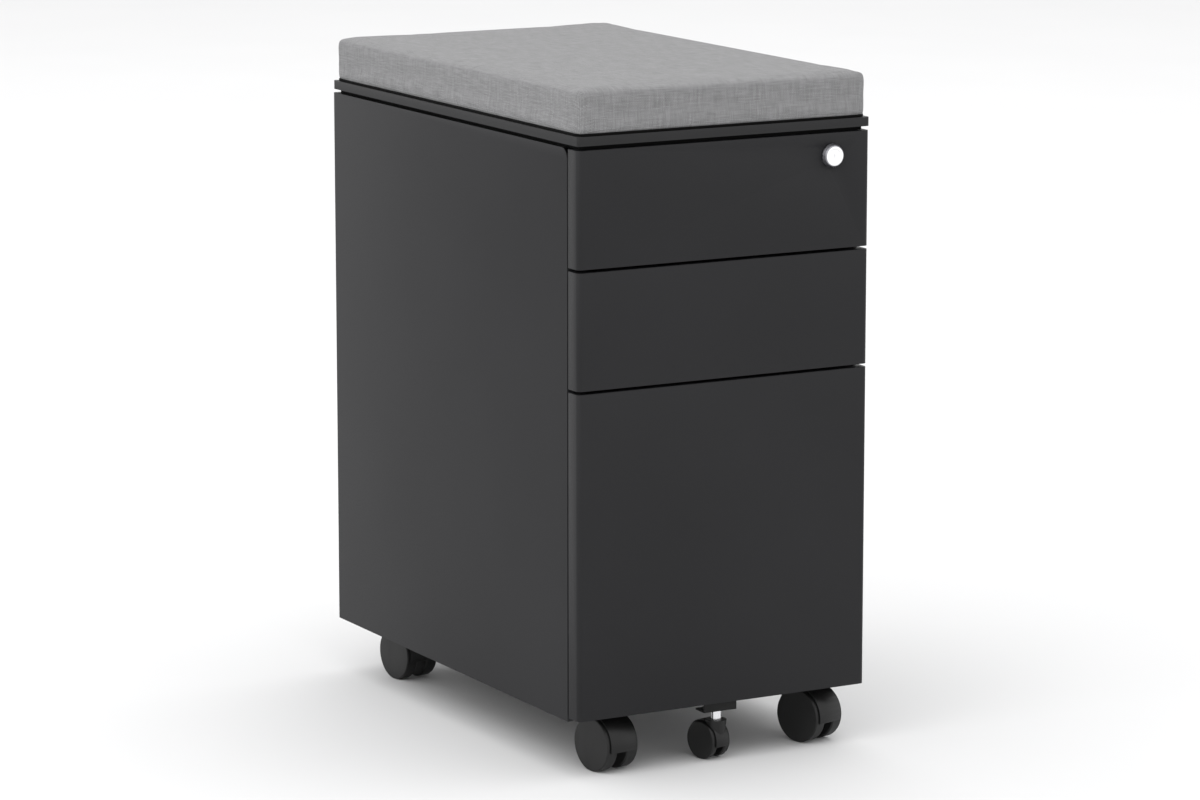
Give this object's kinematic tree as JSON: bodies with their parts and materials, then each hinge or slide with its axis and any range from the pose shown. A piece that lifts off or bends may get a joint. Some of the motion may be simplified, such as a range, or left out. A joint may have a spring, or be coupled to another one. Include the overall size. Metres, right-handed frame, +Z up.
{
  "type": "rolling pedestal cabinet",
  "caption": "Narrow rolling steel pedestal cabinet with box and file drawers, a gang lock, a padded seat top and twin-wheel casters.",
  "frame": {"origin": "centre of the bounding box on the floor plane: the floor is z = 0, x = 0 is the middle of the width, y = 0 is half way between the lock face and the back", "axes": "+Z up, -Y out of the drawer faces, +X towards the side with the lock"},
  "size_m": [0.3, 0.492, 0.6225],
  "materials": {
    "case_steel": "charcoal powder coat, fine texture, satin",
    "front_steel": "charcoal powder coat, fine texture, satin",
    "top_steel": "charcoal powder coat, fine texture, satin",
    "tray_steel": "charcoal powder coat",
    "black_steel": "black paint",
    "black_board": "black-edged fibreboard",
    "foam": "open-cell polyurethane foam",
    "seat_fabric": "plain woven mid-grey upholstery",
    "lock_chrome": "bright satin chrome",
    "stem_chrome": "bright plated steel",
    "runner_zinc": "zinc-plated roll-formed steel",
    "zinc": "zinc-plated steel",
    "caster_plastic": "black moulded nylon",
    "wheel_plastic": "black moulded nylon"
  },
  "bodies": {
    "case": {"case_wrapper": "case_steel", "top_pan": "black_steel", "base_pan": "black_steel", "uprights": "black_steel", "core_board": "black_board", "top_plate": "top_steel", "top_screws": "zinc", "seat_board": "black_board", "seat_foam": "foam", "seat_cover": "seat_fabric", "lock_bar_guides": "black_steel", "runner_screws": "zinc", "caster_stems": "zinc", "runner_1_outer": "runner_zinc", "runner_2_outer": "runner_zinc", "runner_3_outer": "runner_zinc"},
    "runner_1": {"runner_1_middle": "runner_zinc"},
    "drawer_1": {"drawer_1_front": "front_steel", "drawer_1_tray": "tray_steel", "drawer_1_screws": "zinc", "runner_1_inner": "runner_zinc", "lock_housing": "lock_chrome", "lock_nut": "zinc"},
    "runner_2": {"runner_2_middle": "runner_zinc"},
    "drawer_2": {"drawer_2_front": "front_steel", "drawer_2_tray": "tray_steel", "drawer_2_screws": "zinc", "runner_2_inner": "runner_zinc"},
    "runner_3": {"runner_3_middle": "runner_zinc"},
    "drawer_3": {"drawer_3_front": "front_steel", "drawer_3_tray": "tray_steel", "drawer_3_screws": "zinc", "runner_3_inner": "runner_zinc", "file_bars": "zinc", "caster_bracket": "black_steel", "mid_caster_stem": "stem_chrome"},
    "lock_plug": {"lock_plug": "lock_chrome", "lock_cam": "zinc"},
    "lock_bar": {"lock_bar": "zinc"},
    "caster_fl": {"caster_fl_housing": "caster_plastic", "caster_fl_axle": "zinc"},
    "caster_fl_left_wheel": {"caster_fl_left_wheel": "wheel_plastic"},
    "caster_fl_right_wheel": {"caster_fl_right_wheel": "wheel_plastic"},
    "caster_fr": {"caster_fr_housing": "caster_plastic", "caster_fr_axle": "zinc"},
    "caster_fr_left_wheel": {"caster_fr_left_wheel": "wheel_plastic"},
    "caster_fr_right_wheel": {"caster_fr_right_wheel": "wheel_plastic"},
    "caster_rl": {"caster_rl_housing": "caster_plastic", "caster_rl_axle": "zinc"},
    "caster_rl_left_wheel": {"caster_rl_left_wheel": "wheel_plastic"},
    "caster_rl_right_wheel": {"caster_rl_right_wheel": "wheel_plastic"},
    "caster_rr": {"caster_rr_housing": "caster_plastic", "caster_rr_axle": "zinc"},
    "caster_rr_left_wheel": {"caster_rr_left_wheel": "wheel_plastic"},
    "caster_rr_right_wheel": {"caster_rr_right_wheel": "wheel_plastic"},
    "mid_caster": {"mid_caster_housing": "caster_plastic", "mid_caster_axle": "zinc"},
    "mid_caster_left_wheel": {"mid_caster_left_wheel": "wheel_plastic"},
    "mid_caster_right_wheel": {"mid_caster_right_wheel": "wheel_plastic"}
  },
  "joints": [
    {"name": "drawer_1_slide", "type": "slide", "parent": "case", "child": "drawer_1", "axis": [0, -1, 0], "range_m": [0, 0.4]},
    {"name": "runner_1_slide", "type": "slide", "parent": "case", "child": "runner_1", "axis": [0, -1, 0], "range_m": [0, 0.2]},
    {"name": "drawer_2_slide", "type": "slide", "parent": "case", "child": "drawer_2", "axis": [0, -1, 0], "range_m": [0, 0.4]},
    {"name": "runner_2_slide", "type": "slide", "parent": "case", "child": "runner_2", "axis": [0, -1, 0], "range_m": [0, 0.2]},
    {"name": "drawer_3_slide", "type": "slide", "parent": "case", "child": "drawer_3", "axis": [0, -1, 0], "range_m": [0, 0.4]},
    {"name": "runner_3_slide", "type": "slide", "parent": "case", "child": "runner_3", "axis": [0, -1, 0], "range_m": [0, 0.2]},
    {"name": "lock_turn", "type": "hinge", "parent": "drawer_1", "child": "lock_plug", "pos_m": [0.1107, -0.2415, 0.5478], "axis": [0, -1, 0], "range_deg": [0, 90]},
    {"name": "lock_bar_lift", "type": "slide", "parent": "case", "child": "lock_bar", "axis": [0, 0, 1], "range_m": [0, 0.01697]},
    {"name": "caster_fl_swivel", "type": "hinge", "parent": "case", "child": "caster_fl", "pos_m": [-0.1064, -0.1885, 0], "axis": [0, 0, 1], "continuous": true},
    {"name": "caster_fl_left_spin", "type": "hinge", "parent": "caster_fl", "child": "caster_fl_left_wheel", "pos_m": [-0.10337, -0.20827, 0.025], "axis": [0.9885, 0.1513, 0], "continuous": true},
    {"name": "caster_fl_right_spin", "type": "hinge", "parent": "caster_fl", "child": "caster_fl_right_wheel", "pos_m": [-0.10337, -0.20827, 0.025], "axis": [0.9885, 0.1513, 0], "continuous": true},
    {"name": "caster_fr_swivel", "type": "hinge", "parent": "case", "child": "caster_fr", "pos_m": [0.1064, -0.1885, 0], "axis": [0, 0, 1], "continuous": true},
    {"name": "caster_fr_left_spin", "type": "hinge", "parent": "caster_fr", "child": "caster_fr_left_wheel", "pos_m": [0.11205, -0.20769, 0.025], "axis": [0.9593, 0.2823, 0], "continuous": true},
    {"name": "caster_fr_right_spin", "type": "hinge", "parent": "caster_fr", "child": "caster_fr_right_wheel", "pos_m": [0.11205, -0.20769, 0.025], "axis": [0.9593, 0.2823, 0], "continuous": true},
    {"name": "caster_rl_swivel", "type": "hinge", "parent": "case", "child": "caster_rl", "pos_m": [-0.1064, 0.2058, 0], "axis": [0, 0, 1], "continuous": true},
    {"name": "caster_rl_left_spin", "type": "hinge", "parent": "caster_rl", "child": "caster_rl_left_wheel", "pos_m": [-0.10417, 0.18593, 0.025], "axis": [0.9938, 0.1115, 0], "continuous": true},
    {"name": "caster_rl_right_spin", "type": "hinge", "parent": "caster_rl", "child": "caster_rl_right_wheel", "pos_m": [-0.10417, 0.18593, 0.025], "axis": [0.9938, 0.1115, 0], "continuous": true},
    {"name": "caster_rr_swivel", "type": "hinge", "parent": "case", "child": "caster_rr", "pos_m": [0.1064, 0.2058, 0], "axis": [0, 0, 1], "continuous": true},
    {"name": "caster_rr_left_spin", "type": "hinge", "parent": "caster_rr", "child": "caster_rr_left_wheel", "pos_m": [0.11022, 0.18617, 0.025], "axis": [0.9816, 0.1908, 0], "continuous": true},
    {"name": "caster_rr_right_spin", "type": "hinge", "parent": "caster_rr", "child": "caster_rr_right_wheel", "pos_m": [0.11022, 0.18617, 0.025], "axis": [0.9816, 0.1908, 0], "continuous": true},
    {"name": "mid_caster_swivel", "type": "hinge", "parent": "drawer_3", "child": "mid_caster", "pos_m": [0, -0.228, 0], "axis": [0, 0, 1], "continuous": true},
    {"name": "mid_caster_left_spin", "type": "hinge", "parent": "mid_caster", "child": "mid_caster_left_wheel", "pos_m": [-0.00222, -0.21846, 0.0175], "axis": [0.974, 0.2267, 0], "continuous": true},
    {"name": "mid_caster_right_spin", "type": "hinge", "parent": "mid_caster", "child": "mid_caster_right_wheel", "pos_m": [-0.00222, -0.21846, 0.0175], "axis": [0.974, 0.2267, 0], "continuous": true}
  ],
  "couplings": [
    {"joint": "runner_1_slide", "follows": "drawer_1_slide", "ratio": 0.5},
    {"joint": "runner_2_slide", "follows": "drawer_2_slide", "ratio": 0.5},
    {"joint": "runner_3_slide", "follows": "drawer_3_slide", "ratio": 0.5},
    {"joint": "lock_turn", "follows": "lock_bar_lift", "rad_per_m": 92.56}
  ]
}
